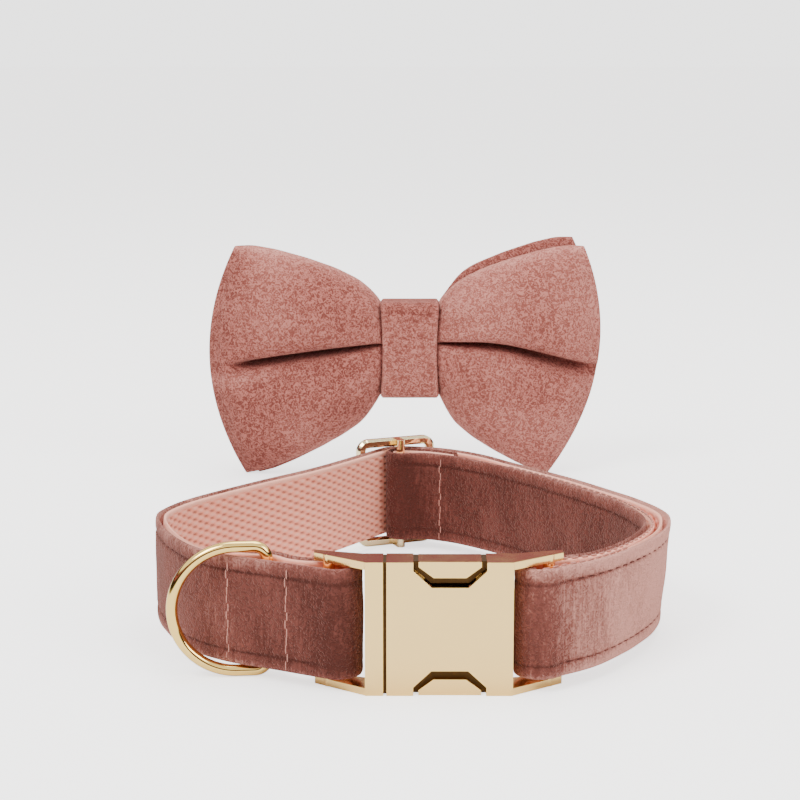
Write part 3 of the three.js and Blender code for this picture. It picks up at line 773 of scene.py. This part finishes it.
def row_along(height, start, end, offset, outward_sign, pitch):
    """Stitches that follow the strap at one height."""
    distance = np.arange(start, end, pitch)
    normal = frame_on_strap(distance)[1]
    origins = on_strap(distance, height, np.full(distance.shape, offset))
    along = np.stack([normal[:, 1], -normal[:, 0], np.zeros(len(distance))], -1)
    outward = np.concatenate([normal, np.zeros((len(distance), 1))], -1) * outward_sign
    return origins, along, outward


def row_up(distance, offset):
    """Stitches in a slightly wavy line across the velvet at one distance."""
    low, high, pitch = 1.6, 23.6, 1.9
    height = np.arange(low, high, pitch)
    distance = np.full(height.shape, distance) + 0.25 * np.sin(height * 1.3)
    normal = frame_on_strap(distance)[1]
    origins = on_strap(distance, height, np.full(height.shape, offset))
    along = np.tile([0.0, 0.0, 1.0], (len(height), 1))
    outward = np.concatenate([normal, np.zeros((len(height), 1))], -1)
    return origins, along, outward


def together(rows):
    """Several rows of stitches as one set of arrays."""
    return [np.concatenate(column) for column in zip(*rows)]


# %% Rows of stitches
hem_rows = together([row_along(height, 1.5, strap_length - 1.5, strap_thick - 0.3, 1, hem_pitch)
                     for height in (hem_top, hem_bottom)])
sew("hem_stitches", *hem_rows, 2.3, 0.16, rose_thread, "velvet")
edge_rows = row_along(strap_width - 0.35, 0.62 * strap_length, 0.9 * strap_length, webbing_thick * 0.45, -1,
                      2.6)
sew("edge_stitches", *edge_rows, 1.9, 0.26, pale_thread, "webbing")
front_seam = nearest_distance(beside(10.6, 0), 0.05, 0.3)
ring_seam = nearest_distance(beside(25.8, 0), 0.05, 0.3)
tail_seam = nearest_distance(beside(slide_at + tail_length * 0.85, tail_apart), 0.6, 0.97)
cross_rows = together([row_up(front_seam, strap_thick + 0.1), row_up(ring_seam, strap_thick + 0.03),
                       row_up(tail_seam, strap_thick + 0.1)])
sew("seam_stitches", *cross_rows, 2.3, 0.17, pale_thread, "webbing")
print(f"seams at {front_seam:.1f}, {ring_seam:.1f} and {tail_seam:.1f} mm along the strap")

# %% [markdown]
# ## Buckle and slide
# The cast pieces have the right shape already, but their edges are knife-sharp, and a real casting's
# edges are rounded and catch the light. They could be modelled anew, but a merged copy of each, with
# its flat faces joined and its edges bevelled, can't leave the CAD's shape.

# %% Cast pieces with rounded edges
def cast_copy(name, node, width, material):
    """A copy of a CAD node: doubles merged, flat faces joined, a bevel on edges sharper than 25 degrees."""
    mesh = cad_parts[node].data.copy()
    mesh.name = name
    mesh.materials.clear()
    work = bmesh.new()
    work.from_mesh(mesh)
    bmesh.ops.remove_doubles(work, verts=work.verts, dist=2e-6)
    bmesh.ops.dissolve_limit(work, angle_limit=math.radians(1), verts=work.verts, edges=work.edges)
    work.to_mesh(mesh)
    work.free()
    if "custom_normal" in mesh.attributes:
        mesh.attributes.remove(mesh.attributes["custom_normal"])
    mesh.polygons.foreach_set("use_smooth", np.ones(len(mesh.polygons), bool))
    mesh.materials.append(material)
    item = bpy.data.objects.new(name, mesh)
    bpy.context.scene.collection.objects.link(item)
    bevel = item.modifiers.new("rounded edges", "BEVEL")
    bevel.width = width / 1000
    bevel.segments = 3
    bevel.limit_method = "ANGLE"
    bevel.angle_limit = math.radians(25)
    bevel.harden_normals = True
    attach(item, "collar_and_bow")
    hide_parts(node)
    print(f"{name}: {len(mesh.polygons)} flat faces before the bevel")
    return item


def shade_slab(name, outline, front, back):
    """A dark plate of painted shade seen from the front: its outline is carried from front to back, drawn
    in a hair at both faces."""
    outline = np.asarray(outline, float)
    t = np.array([0.0, 0.04, 0.96, 1.0])[:, None]
    draw = np.array([0.985, 1.0, 1.0, 0.985])[:, None]
    centre = outline.mean(0)
    x = centre[0] + (outline[:, 0] - centre[0])[None] * draw
    z = centre[1] + (outline[:, 1] - centre[1])[None] * draw
    count = len(outline)
    points = np.stack([x, plate_front + front + (back - front) * np.broadcast_to(t, x.shape), z], -1)
    faces = grid_faces(4, count, columns_closed=True).tolist()
    ends = [list(range(count)), list(range(3 * count, 4 * count))]
    item = make_piece(name, points, faces + ends, shaded_gold)
    item.data.polygons.foreach_set("use_smooth", np.zeros(len(item.data.polygons), bool))
    return item


# %% [markdown]
# ## Inside the buckle
# In the joint between the halves and in the two notches one looks into the buckle, where hardly any light
# gets. The hollow itself would let the pale floor shine through, so a plate of dull dark gold fills each
# gap a little behind the front as painted shade.

# %% Painted shade inside the buckle
# dull dark gold for the plates of painted shade in the buckle's joint and notches
shaded_gold = gold_material("shaded gold", (0.09, 0.05, 0.02), 0.45, 0.6)
shade_plate_low, shade_plate_high, shade_plate_back = 0.15, 29.85, 7.8
joint_left, joint_right, joint_front = -5.0, -3.7, 1.0
shade_slab("joint_shade_plate", [(joint_left, shade_plate_low), (joint_right, shade_plate_low), (joint_right, shade_plate_high),
                    (joint_left, shade_plate_high)], joint_front, shade_plate_back)
notch_middle, notch_half, notch_foot, notch_front = 9.8, 8.4, 4.2, 2.0
notch_straight, notch_deep = 1.35, 4.95
for name, edge, step in (("upper_notch_shade_plate", shade_plate_high, -1), ("lower_notch_shade_plate", shade_plate_low, 1)):
    straight, deep = edge + step * notch_straight, edge + step * notch_deep
    corners = [(-notch_half, edge), (notch_half, edge), (notch_half, straight), (notch_foot, deep),
               (-notch_foot, deep), (-notch_half, straight)]
    notch = [(notch_middle + across, height) for across, height in corners]
    shade_slab(name, notch[::step], notch_front, shade_plate_back)

# %% Plate, prongs and slide
cast_copy("buckle_plate", "buckle_socket", 0.5, plate_gold)
cast_copy("buckle_prongs", "buckle_tongue", 0.45, plate_gold)
cast_copy("slide_frame", "slide_adjuster", 0.3, slide_gold)

# %% [markdown]
# ## D-ring
# Round wire bent to a D. The line is straight where it lies in the strap's tunnel and a half circle
# outside it, with tight bends between. A curve with a round bevel could make it. A circle carried along
# the closed line does the same in one formula, finer than the CAD's solid, so its highlights run
# smoothly.

# %% Wire carried along a closed line
def wire(name, line, radius, material, stands_for, body, around=28):
    """At each point of a closed flat line stands a circle, square to it: the radius times the cosine
    outwards in the line's plane, and the radius times the sine square to that plane."""
    ahead = np.roll(line, -1, axis=0) - np.roll(line, 1, axis=0)
    ahead /= np.linalg.norm(ahead, axis=1, keepdims=True)
    plane = np.cross(line[0] - line.mean(0), line[len(line) // 4] - line.mean(0))
    plane /= np.linalg.norm(plane)
    out = np.cross(ahead, plane)
    angle = np.linspace(0, 2 * math.pi, around, endpoint=False)[None, :, None]
    points = line[:, None] + radius * (np.cos(angle) * out[:, None] + np.sin(angle) * plane)
    faces = grid_faces(len(line), around, True, True)
    return make_piece(name, points, faces, material, stands_for, body)


# %% The ring's line
wire_radius, ring_half, ring_reach, bend_radius = 1.3, 14.3, 21.4, 3.0
ring_swing, tunnel_gap, floor_gap, bar_half, ring_points = math.radians(5), 0.3, 0.1, 11, 160
ring_place = beside(ring_from_fold, tunnel_gap + wire_radius)
letter_d = np.vstack([arc((bend_radius, ring_half - bend_radius), bend_radius, 180, 90, 8),
                      arc((ring_reach - ring_half, 0), ring_half, 90, -90, 60),
                      arc((bend_radius, bend_radius - ring_half), bend_radius, 270, 180, 8),
                      np.stack([np.zeros(14), np.linspace(-bar_half, bar_half, 14)], -1)])
closed_d = np.vstack([letter_d, letter_d[:1]])
even = at(closed_d, np.linspace(0, lengths(closed_d)[-1], ring_points + 1)[:-1])
ring_line = np.stack([ring_place[0] - even[:, 0] * math.cos(ring_swing),
                      ring_place[1] - even[:, 0] * math.sin(ring_swing),
                      floor_gap + ring_half + wire_radius + even[:, 1]], -1)
wire("ring_wire", ring_line, wire_radius, wire_gold, ["d_ring"], "ring")

# %% [markdown]
# ## The bow
# Each layer is a flat bag of velvet with soft filling, gathered at the middle by the knot. Its outline
# comes from the CAD's table, smoothed. The front has one deep pleat in each lobe: the upper puff turns
# in sharply under itself and the lower puff rises gently from below it, so the crease is dark. It could
# be sculpted by hand. As formulas its outline, its fullness and its crease stay apart, and each can be
# changed by one number.

# %% Measures of the bow
bow_width, bow_height, knot_shift, knot_middle, bow_back_distance = 130.0, 78.0, 1.6, 42.3, 165.0
knot_start, knot_pinch = 9.9, 28.0
# Each row: share of the way out, top and bottom as shares of the height, and fullness.
lobe_table = np.array([[0, 0.749, 0.338, 0.62], [0.07, 0.8, 0.272, 0.78], [0.14, 0.836, 0.223, 0.88],
                       [0.3, 0.885, 0.16, 1], [0.5, 0.928, 0.101, 1], [0.72, 0.965, 0.046, 0.88],
                       [0.88, 0.982, 0.013, 0.7], [1, 0.978, 0, 0.45]])
# Upper corner, lower corner and the bulge between them, as shares of half the width.
left_side, right_side = (0.86, 0.818, 0.158), (0.905, 0.734, 0.165)
print("lobe: share out, top, bottom and fullness in", len(lobe_table), "rows")


# %% Outline of a lobe
def lobe_column(out, column):
    """A column of the lobe table at a share out from the knot, rounded by averaging over a short way."""
    reach = 12
    fine = np.linspace(0, 1, 201)
    values = np.interp(fine, lobe_table[:, 0], lobe_table[:, column])
    before, after = 2 * values[0] - values[reach:0:-1], 2 * values[-1] - values[-2:-reach - 2:-1]
    window = np.hanning(2 * reach + 3)[1:-1]
    averaged = np.convolve(np.concatenate([before, values, after]), window / window.sum(), "same")
    return np.interp(out, fine, averaged[reach:-reach])


neck = 0.16


def layer_plan(u, v):
    """Seen from the front: within the knot a narrow straight neck, outside it the lobe. x runs from the
    knot to the corner line and bulges by one minus v squared, z from the bottom outline to the top
    one."""
    sign = np.sign(u)
    out = np.clip((np.abs(u) - neck) / (1 - neck), 0, 1)
    upper, lower, bulge = (np.where(u < 0, a, b) for a, b in zip(left_side, right_side))
    corner = (lower + (upper - lower) * (v + 1) / 2) * bow_width / 2 - sign * knot_shift
    x_lobe = knot_shift + sign * (knot_start + (corner - knot_start) * out
                                  + bulge * bow_width / 2 * (1 - v * v) * out * out)
    bottom, top = lobe_column(out, 2) * bow_height, lobe_column(out, 1) * bow_height
    z_lobe = bottom + (top - bottom) * (v + 1) / 2
    inside = np.abs(u) <= neck
    x = np.where(inside, knot_shift + u * knot_start / neck, x_lobe)
    z = np.where(inside, knot_middle + v * knot_pinch / 2, z_lobe)
    return x, z, np.where(inside, 0, out)


x_corner, z_corner, _ = layer_plan(np.array([-1.0, 1.0]), np.array([1.0, 1.0]))
print("upper corners in mm:", x_corner.round(1), z_corner.round(1))

# %% [markdown]
# ## Filling the bow
# A bag is plump because its filling pushes the cloth out while the seams hold it. That is what
# Blender's Cloth with pressure does, so each layer starts a little slim, its outline, neck and crease
# are pinned, and a short simulation inflates it. A cap on how far a point may move keeps it inside the
# CAD's space.

# %% Crease and rows of a layer
def crease_line(u, out):
    """Height of the crease: just above the middle at the knot, falling a little towards the outer edge."""
    return np.where(u < 0, 0.14 - 0.2 * out, 0.16 - 0.03 * out - 0.17 * smoothstep(out, 0.25, 1.05))


def pleat_depth(u, v, out):
    """How deep the crease is at a point of the front, from 0 to 1: above the line it is a steep wall,
    below it a long slope. It fades before the left lobe's outer edge and stays open at the right
    one."""
    line = crease_line(u, out)
    open_wide = 0.05 + 0.05 * smoothstep(out, 0.4, 0.9) * (u > 0)
    slope = 0.75 * bell(v, line, open_wide) + 0.25 * bell(v, line, 0.22)
    wall = bell(v, line, 0.045) * (v >= line) + slope * (v < line)
    fade = np.where(u < 0, 1 - smoothstep(out, 0.74, 0.97), 1 - 0.2 * smoothstep(out, 0.85, 1.0))
    return wall * fade * smoothstep(out, -0.02, 0.03)


def crowded(rows, line):
    """Places from -1 to 1, closer together at both ends and near the crease line: even steps of the sum
    of a weight that is highest there."""
    fine = np.linspace(-1, 1, 2001)
    weight = 1 + 2.2 * bell(fine, line, 0.12) + 1.2 * (bell(fine, -1, 0.1) + bell(fine, 1, 0.1))
    run = np.concatenate([[0], np.cumsum((weight[1:] + weight[:-1]) / 2)])
    return np.interp(np.linspace(0, run[-1], rows), run, fine)


# %% Cloth with pressure
def filled_cloth(item):
    """The Cloth modifier of a filled bag: light soft cloth, pinned by the group held and pushed out by
    pressure."""
    cloth = item.modifiers.new("filling", "CLOTH")
    settings = cloth.settings
    settings.quality = 4
    settings.mass = 0.02
    for way in ("tension", "compression", "shear"):
        setattr(settings, way + "_stiffness", 4)
        setattr(settings, way + "_damping", 0.5)
    settings.air_damping = 0.5
    settings.bending_stiffness = 0.4
    settings.use_pressure = True
    settings.uniform_pressure_force = 2000
    settings.vertex_group_mass = "held"
    settings.pin_stiffness = 3
    settings.effector_weights.gravity = 0
    cloth.collision_settings.use_collision = False
    cloth.point_cache.frame_start, cloth.point_cache.frame_end = 1, 20
    return cloth


def corner_places(mesh):
    """All vertex places of a mesh as one flat array."""
    places = np.empty(len(mesh.vertices) * 3, np.float32)
    mesh.vertices.foreach_get("co", places)
    return places


def inflate(item, hold, cap):
    """Cloth with pressure for 16 frames: points pinned by hold from 0 to 1, the rest pushed out by the
    filling. A point's way is bent by a hyperbolic tangent, so that none ends further than cap mm from
    where it began."""
    frames = 16
    scene = bpy.context.scene
    mesh = item.data
    start = corner_places(mesh)
    group = item.vertex_groups.new(name="held")
    for level in np.unique(hold.round(1)):
        if level > 0:
            group.add(np.flatnonzero(hold.round(1) == level).tolist(), float(level), "REPLACE")
    cloth = filled_cloth(item)
    for moment in range(1, frames + 1):
        scene.frame_set(moment)
    end = corner_places(item.evaluated_get(bpy.context.evaluated_depsgraph_get()).data)
    moved = (end - start).reshape(-1, 3)
    far = np.linalg.norm(moved, axis=1, keepdims=True)
    limit = cap / 1000
    moved *= limit * np.tanh(far / limit) / np.maximum(far, 1e-9)
    item.modifiers.remove(cloth)
    item.vertex_groups.remove(group)
    scene.frame_set(1)
    mesh.vertices.foreach_set("co", (start.reshape(-1, 3) + moved).ravel())
    mesh.update()
    print(f"{item.name}: filling moved it by up to {far.max() * 1000:.1f} mm, kept to {cap} mm")


# %% Outline, faces and shade of a layer
def turned_layer(x, z, out, turn, share):
    """A layer turned about the knot by turn degrees, drawn in to a share of its size and lifted back on
    to its lower left corner. Near the knot the turn fades away."""
    blend = smoothstep(out, 0, 0.25)
    c, s = math.cos(math.radians(turn)) * share, math.sin(math.radians(turn)) * share
    dx, dz = x - knot_shift, z - knot_middle
    low = -left_side[1] * bow_width / 2 - knot_shift
    turned_x = knot_shift + dx * c - dz * s
    turned_z = dx * s + dz * c - (low * s - knot_middle * c)
    return x + (turned_x - x) * blend, z + (turned_z - z) * blend


def bag_faces(columns, rows):
    """Faces of two sheets of one grid, one after the other, and of the wall that joins their rims."""
    count = columns * rows
    sheet = grid_faces(columns, rows)
    rim = np.concatenate([np.arange(columns) * rows, (columns - 1) * rows + np.arange(1, rows),
                          np.arange(columns - 1)[::-1] * rows + rows - 1, np.arange(1, rows - 1)[::-1]])
    wall = np.stack([rim, np.roll(rim, -1), np.roll(rim, -1) + count, rim + count], -1)
    return np.vstack([sheet, sheet + count, wall])


def bow_shade(x, z, u, v, out, line, fans, dent, seed, creased):
    """Painted light and shade on the bow: painted shade in the crease, on the left and low down, painted
    light along its top and bottom edges and on the left under the crease's end."""
    shade = 0.43 + 0.1 * fans + 0.12 * soft_noise(x / 40, z / 30, seed) - 0.55 * dent ** 1.5
    shade = shade - 0.14 * (1 - smoothstep(x, -30, 20)) - 0.1 * (1 - smoothstep(v, -0.4, 0.3))
    shade = shade + 0.3 * bell(np.abs(v), 1, 0.05) - 0.2 * smoothstep(out, 0.8, 1) * (u < 0)
    return shade + 0.3 * bell(v, line - 0.13, 0.07) * smoothstep(out, 0.45, 0.9) * (u < 0) * creased


# %% Bow layer
def bow_layer(name, pad, pinched, front, turn, share, crease, stands_for, seed):
    """A closed bag: the outer sheet stands off the back sheet by the pad times the root of one minus a
    power of v, less the crease. Soft gathers fan out of the knot and die away."""
    columns, rows, from_middle = 118, 88, 0.15
    u, v = np.broadcast_arrays(np.linspace(-1, 1, columns)[:, None], crowded(rows, 0.05)[None, :])
    x, z, out = layer_plan(u, v)
    if turn:
        x, z = turned_layer(x, z, out, turn, share)
    full = np.where(out > 0, pad * lobe_column(out, 3), pinched)
    rim = np.minimum(1.2, full)
    crown = np.sqrt(np.clip(1 - np.abs(v) ** 2.6, 0, 1)) * (1 - 0.55 * smoothstep(out, 0.9, 1))
    depth = rim + (full - rim) * crown
    dent = pleat_depth(u, v, out) if crease else np.zeros_like(u)
    line = crease_line(u, out)
    fans = np.cos((v - line) * 11) * np.exp(-out * 5) * smoothstep(out, 0, 0.05)
    waves = 0.5 * soft_noise(x / 30, z / 26, seed) * (1 - v ** 4)
    puffed = depth * (1 - crease * dent) + 0.5 * fans * (1 - v ** 4) + waves * (1 - dent)
    droop = 1.5 * (crease > 0) * bell(v, line + 0.07, 0.05) * (1 - (1 - dent) ** 3)
    sign = -1 if front else 1
    outer_sheet = np.stack([x, sign * (from_middle + puffed), z - droop], -1)
    inner_sheet = np.stack([x, np.full(x.shape, sign * from_middle), z], -1)
    count = columns * rows
    points = np.concatenate([outer_sheet.reshape(-1, 3), inner_sheet.reshape(-1, 3)])
    points[:, 1] += bow_back_distance
    # painted light and shade on the outer sheet, an even middle value on the back sheet
    shade = bow_shade(x, z, u, v, out, line, fans, dent, seed + 5, crease > 0)
    painted_light = np.concatenate([shade.ravel(), np.full(count, 0.3)])
    item = make_piece(name, points, bag_faces(columns, rows), bow_velvet, stands_for, painted_light=painted_light)
    edge = np.maximum(smoothstep(np.abs(v), 0.9, 1), smoothstep(out, 0.93, 1))
    gathered, creased = 1 - smoothstep(out, 0.0, 0.1), np.minimum(dent * 1.6, 1)
    hold = np.clip(np.maximum.reduce([edge, gathered, creased]), 0, 1)
    inflate(item, np.concatenate([hold.ravel(), np.ones(count)]), 2.2)
    smooth = item.modifiers.new("smooth cloth", "SUBSURF")
    smooth.levels = smooth.render_levels = 1
    return item


bow_layer("bow_front_layer", pad=13.6, pinched=6.6, front=True, turn=0, share=1, crease=0.88,
          stands_for=["bow_front"], seed=11)
bow_layer("bow_back_layer", pad=9.6, pinched=5.6, front=False, turn=3, share=0.965, crease=0,
          stands_for=["bow_back"], seed=12)

# %% [markdown]
# ## Knot and loop
# The knot is a band of the same velvet drawn round the middle, a little narrower at its waist, its
# sides rolled under. The loop behind it is elastic, wide enough for the strap. A bent box would have a
# seam and even faces. Both are a flat section carried round a closed rounded rectangle instead, which
# leaves no seam and takes the knot's small folds.

# %% Bands round the middle
def band(name, y_front, y_back, tall, wall, width, waist, crown, material, stands_for, ridges=0.0):
    """A rounded rectangle in the plane across the bow, seen from the side; at each of its points a flat
    section of the band's width, rounded at both sides, stands on it. The front bulges by crown."""
    corner, around, across_points = 1.6, 150, 33
    half_y, half_z = (y_back - y_front) / 2, tall / 2
    walk = np.vstack([arc((half_y - corner, half_z - corner), corner, 0, 90, 10),
                      arc((corner - half_y, half_z - corner), corner, 90, 180, 10),
                      arc((corner - half_y, corner - half_z), corner, 180, 270, 10),
                      arc((half_y - corner, corner - half_z), corner, 270, 360, 10)])
    closed = np.vstack([walk, walk[:1]])
    line = at(closed, np.linspace(0, lengths(closed)[-1], around + 1)[:-1])
    ahead = np.roll(line, -1, axis=0) - np.roll(line, 1, axis=0)
    ahead /= np.linalg.norm(ahead, axis=1, keepdims=True)
    normal = np.stack([ahead[:, 1], -ahead[:, 0]], -1)
    there, back = np.linspace(-1, 1, across_points), np.linspace(1, -1, across_points)[1:-1]
    across = np.concatenate([there, back])[None, :]
    outside = (np.arange(across.size) < across_points)[None, :]
    round_off = np.sqrt(np.clip(1 - np.clip((np.abs(across) - 0.9) / 0.1, 0, 1) ** 2, 0, 1))
    facing = smoothstep(-line[:, 0:1], half_y * 0.3, half_y * 0.98)
    height = line[:, 1:2] / half_z
    relief = crown * facing * (1 - across ** 2) * (1 - height ** 2)
    turns = height * 34 + 1.2 * across + np.sin(across * 5 + height * 7)
    folds = ridges * facing * np.sin(turns) * (0.6 + 0.4 * height)
    outer_face = wall / 2 + relief + folds * (1 - across ** 4)
    offset = wall / 2 + np.where(outside, outer_face, -wall / 2) * round_off
    pinch = 1 - waist * facing * (1 - height ** 2)
    y = (line[:, 0:1] + normal[:, 0:1] * offset) + (y_front + y_back) / 2 + bow_back_distance
    z = (line[:, 1:2] + normal[:, 1:2] * offset) + knot_middle
    points = np.stack([knot_shift + across * pinch * width / 2, y, z], -1)
    along = np.broadcast_to(lengths(np.vstack([line, line[:1]]))[:-1, None], offset.shape)
    cloth = np.stack([along, np.broadcast_to(across * width / 2, offset.shape), offset], -1)
    # painted light and shade on the knot: shade over its top, light on its rolled sides, and light and
    # shade along its folds
    painted_light = 0.34 - 0.3 * bell(height, 1, 0.2) + 0.25 * bell(np.abs(across), 0.93, 0.06)
    painted_light = painted_light + 0.12 * folds / max(ridges, 0.01)
    faces = grid_faces(around, across.size, True, True)
    return make_piece(name, points, faces, material, stands_for, on_cloth=cloth, painted_light=painted_light)


def elastic_material():
    """Knitted elastic: fine ribs along the band, a sine across it, with the rubber's ripple as a noise."""
    rib_pitch = 0.8
    material, shader = principled("elastic", (0.62, 0.31, 0.26), 0.85)
    tree = material.node_tree
    split = add_node(tree, "ShaderNodeSeparateXYZ")
    tree.links.new(coordinates(tree, (1, 1, 1), "on_cloth"), split.inputs[0])
    turns = arithmetic(tree, "MULTIPLY", split.outputs["Y"], 2 * math.pi / rib_pitch)
    ribs = arithmetic(tree, "MULTIPLY_ADD", arithmetic(tree, "SINE", turns), 0.5, 0.5)
    ripple = noise(tree, coordinates(tree, (1.6, 0.5, 1), "on_cloth"), 1.0, 2.0)
    mixed = arithmetic(tree, "MULTIPLY_ADD", ripple, 0.5, arithmetic(tree, "MULTIPLY", ribs, 0.5))
    tree.links.new(shades(tree, mixed, [(0.2, (0.38, 0.16, 0.13)), (0.8, (0.68, 0.36, 0.30))]),
                   shader.inputs["Base Color"])
    bumped(tree, shader, mixed, 0.0003)
    return material


# %% Knot and elastic loop
band("knot_band", y_front=-7.05, y_back=6.05, tall=28.6, wall=1.6, width=19.2, waist=0.07, crown=0.7,
     material=bow_velvet, stands_for=["bow_knot"], ridges=0.12)
band("elastic_loop", y_front=9.15, y_back=15.65, tall=26.6, wall=1.2, width=12.0, waist=0.0, crown=0.0,
     material=elastic_material(), stands_for=["bow_strap_loop"])
